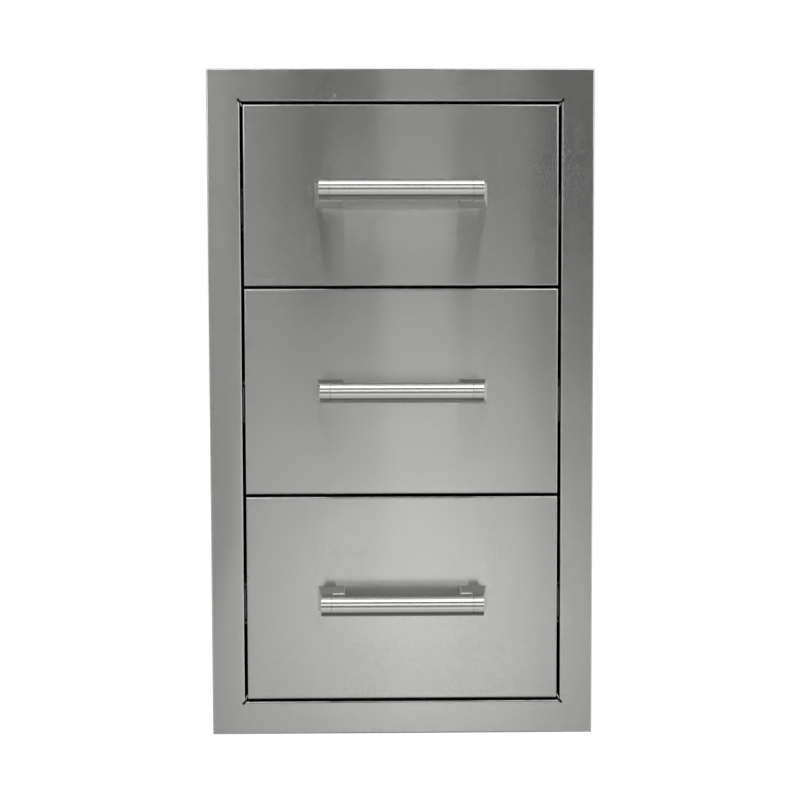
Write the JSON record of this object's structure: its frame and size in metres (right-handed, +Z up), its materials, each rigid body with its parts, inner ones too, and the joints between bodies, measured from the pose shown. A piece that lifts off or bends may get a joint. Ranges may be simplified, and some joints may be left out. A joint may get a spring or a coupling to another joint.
{
  "type": "outdoor kitchen drawer unit",
  "caption": "Built-in stainless steel drawer unit with a face frame, stacked full-extension drawers and bar handles, for a cut-out in an outdoor kitchen island.",
  "frame": {"origin": "on the underside of the case, midway across it, in the plane where the frame's rim meets the island's face", "axes": "+X to the user's right when facing the drawers, +Y into the island, +Z up"},
  "size_m": [0.432, 0.567, 0.749],
  "materials": {
    "brushed_steel": "horizontal brushed grain, satin",
    "mill_steel": "plain rolled sheet, dull",
    "handle_steel": "turned and finely brushed along its length",
    "cast_steel": "cast and satin ground",
    "track_steel": "rolled and bright",
    "cage_steel": "thin strip with bright balls"
  },
  "bodies": {
    "case": {"face_frame": "brushed_steel", "side_panel_left": "mill_steel", "side_panel_right": "mill_steel", "bottom_panel": "mill_steel", "top_panel": "mill_steel", "back_panel": "mill_steel", "slide_outer_bottom_left": "track_steel", "slide_outer_bottom_right": "track_steel", "slide_outer_middle_left": "track_steel", "slide_outer_middle_right": "track_steel", "slide_outer_top_left": "track_steel", "slide_outer_top_right": "track_steel"},
    "drawer_bottom": {"front_bottom": "brushed_steel", "front_liner_bottom": "mill_steel", "front_stiffener_bottom": "mill_steel", "tub_bottom": "mill_steel", "tub_back_bottom": "mill_steel", "handle_tube_bottom": "handle_steel", "handle_bracket_bottom_left": "cast_steel", "handle_bracket_bottom_right": "cast_steel", "slide_inner_bottom_left": "track_steel", "slide_inner_bottom_right": "track_steel"},
    "drawer_middle": {"front_middle": "brushed_steel", "front_liner_middle": "mill_steel", "front_stiffener_middle": "mill_steel", "tub_middle": "mill_steel", "tub_back_middle": "mill_steel", "handle_tube_middle": "handle_steel", "handle_bracket_middle_left": "cast_steel", "handle_bracket_middle_right": "cast_steel", "slide_inner_middle_left": "track_steel", "slide_inner_middle_right": "track_steel"},
    "drawer_top": {"front_top": "brushed_steel", "front_liner_top": "mill_steel", "front_stiffener_top": "mill_steel", "tub_top": "mill_steel", "tub_back_top": "mill_steel", "handle_tube_top": "handle_steel", "handle_bracket_top_left": "cast_steel", "handle_bracket_top_right": "cast_steel", "slide_inner_top_left": "track_steel", "slide_inner_top_right": "track_steel"},
    "slide_middles_bottom": {"slide_middle_bottom_left": "track_steel", "slide_middle_bottom_right": "track_steel"},
    "slide_middles_middle": {"slide_middle_middle_left": "track_steel", "slide_middle_middle_right": "track_steel"},
    "slide_middles_top": {"slide_middle_top_left": "track_steel", "slide_middle_top_right": "track_steel"},
    "outer_cages_bottom": {"cage_outer_bottom_left": "cage_steel", "cage_outer_bottom_right": "cage_steel"},
    "outer_cages_middle": {"cage_outer_middle_left": "cage_steel", "cage_outer_middle_right": "cage_steel"},
    "outer_cages_top": {"cage_outer_top_left": "cage_steel", "cage_outer_top_right": "cage_steel"},
    "inner_cages_bottom": {"cage_inner_bottom_left": "cage_steel", "cage_inner_bottom_right": "cage_steel"},
    "inner_cages_middle": {"cage_inner_middle_left": "cage_steel", "cage_inner_middle_right": "cage_steel"},
    "inner_cages_top": {"cage_inner_top_left": "cage_steel", "cage_inner_top_right": "cage_steel"}
  },
  "joints": [
    {"name": "drawer_bottom_slide", "type": "slide", "parent": "case", "child": "drawer_bottom", "axis": [0, -1, 0], "range_m": [0, 0.444]},
    {"name": "drawer_middle_slide", "type": "slide", "parent": "case", "child": "drawer_middle", "axis": [0, -1, 0], "range_m": [0, 0.444]},
    {"name": "drawer_top_slide", "type": "slide", "parent": "case", "child": "drawer_top", "axis": [0, -1, 0], "range_m": [0, 0.444]},
    {"name": "slide_middles_bottom_slide", "type": "slide", "parent": "case", "child": "slide_middles_bottom", "axis": [0, -1, 0], "range_m": [0, 0.222]},
    {"name": "slide_middles_middle_slide", "type": "slide", "parent": "case", "child": "slide_middles_middle", "axis": [0, -1, 0], "range_m": [0, 0.222]},
    {"name": "slide_middles_top_slide", "type": "slide", "parent": "case", "child": "slide_middles_top", "axis": [0, -1, 0], "range_m": [0, 0.222]},
    {"name": "outer_cages_bottom_slide", "type": "slide", "parent": "case", "child": "outer_cages_bottom", "axis": [0, -1, 0], "range_m": [0, 0.111]},
    {"name": "outer_cages_middle_slide", "type": "slide", "parent": "case", "child": "outer_cages_middle", "axis": [0, -1, 0], "range_m": [0, 0.111]},
    {"name": "outer_cages_top_slide", "type": "slide", "parent": "case", "child": "outer_cages_top", "axis": [0, -1, 0], "range_m": [0, 0.111]},
    {"name": "inner_cages_bottom_slide", "type": "slide", "parent": "case", "child": "inner_cages_bottom", "axis": [0, -1, 0], "range_m": [0, 0.333]},
    {"name": "inner_cages_middle_slide", "type": "slide", "parent": "case", "child": "inner_cages_middle", "axis": [0, -1, 0], "range_m": [0, 0.333]},
    {"name": "inner_cages_top_slide", "type": "slide", "parent": "case", "child": "inner_cages_top", "axis": [0, -1, 0], "range_m": [0, 0.333]}
  ],
  "couplings": [
    {"joint": "slide_middles_bottom_slide", "follows": "drawer_bottom_slide", "ratio": 0.5},
    {"joint": "outer_cages_bottom_slide", "follows": "drawer_bottom_slide", "ratio": 0.25},
    {"joint": "inner_cages_bottom_slide", "follows": "drawer_bottom_slide", "ratio": 0.75},
    {"joint": "slide_middles_middle_slide", "follows": "drawer_middle_slide", "ratio": 0.5},
    {"joint": "outer_cages_middle_slide", "follows": "drawer_middle_slide", "ratio": 0.25},
    {"joint": "inner_cages_middle_slide", "follows": "drawer_middle_slide", "ratio": 0.75},
    {"joint": "slide_middles_top_slide", "follows": "drawer_top_slide", "ratio": 0.5},
    {"joint": "outer_cages_top_slide", "follows": "drawer_top_slide", "ratio": 0.25},
    {"joint": "inner_cages_top_slide", "follows": "drawer_top_slide", "ratio": 0.75}
  ]
}
